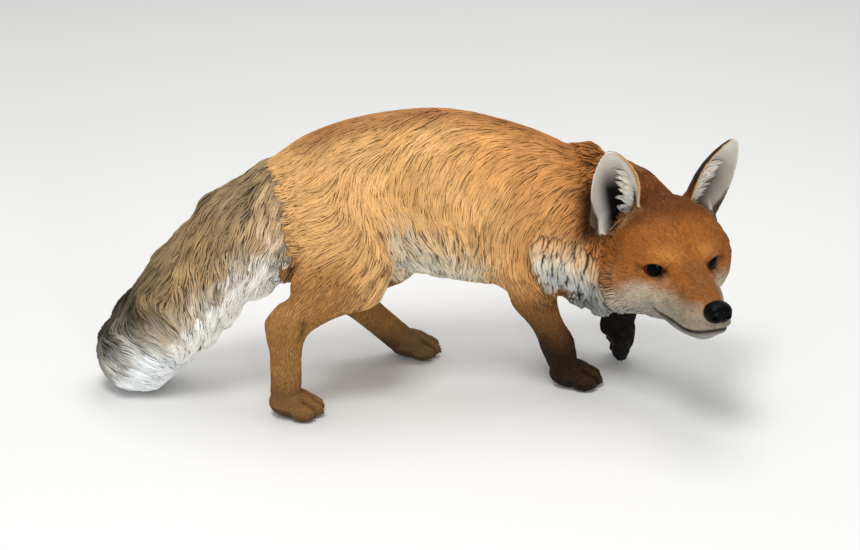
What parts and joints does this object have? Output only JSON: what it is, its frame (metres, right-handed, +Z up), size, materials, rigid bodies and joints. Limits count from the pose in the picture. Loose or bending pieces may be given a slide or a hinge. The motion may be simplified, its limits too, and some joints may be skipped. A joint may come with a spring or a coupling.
{
  "type": "cast resin fox figure",
  "caption": "Life-size fox figure walking with its head turned to its right and low, one fore paw raised onto its toes, brush trailing to the floor.",
  "frame": {"origin": "on the floor, under the middle of the figure's length and width", "axes": "+X from the tail towards the chest, along the body; +Y to the fox's left; +Z up; the head is turned to face -Y"},
  "size_m": [0.696, 0.2882, 0.32],
  "materials": {
    "coat_tan": "hand-painted satin over carved fur",
    "coat_grey": "hand-painted satin over carved locks",
    "coat_pale": "hand-painted matt",
    "coat_dark": "hand-painted satin",
    "nose_leather": "gloss lacquer",
    "eye": "polished"
  },
  "bodies": {
    "root": {"torso": "coat_tan", "neck": "coat_tan", "tail_root": "coat_grey", "tail_mid": "coat_grey", "tail_tip": "coat_pale", "head": "coat_tan", "jaw": "coat_pale", "hind_leg_right": "coat_tan", "hind_leg_left": "coat_tan", "fore_leg_right": "coat_tan", "fore_leg_left": "coat_dark", "paw_hind_right": "coat_dark", "paw_hind_left": "coat_dark", "paw_fore_right": "coat_dark", "paw_fore_left": "coat_dark", "nose": "nose_leather", "ear_right": "coat_pale", "eye_right": "eye", "ear_left": "coat_pale", "eye_left": "eye"}
  },
  "joints": []
}
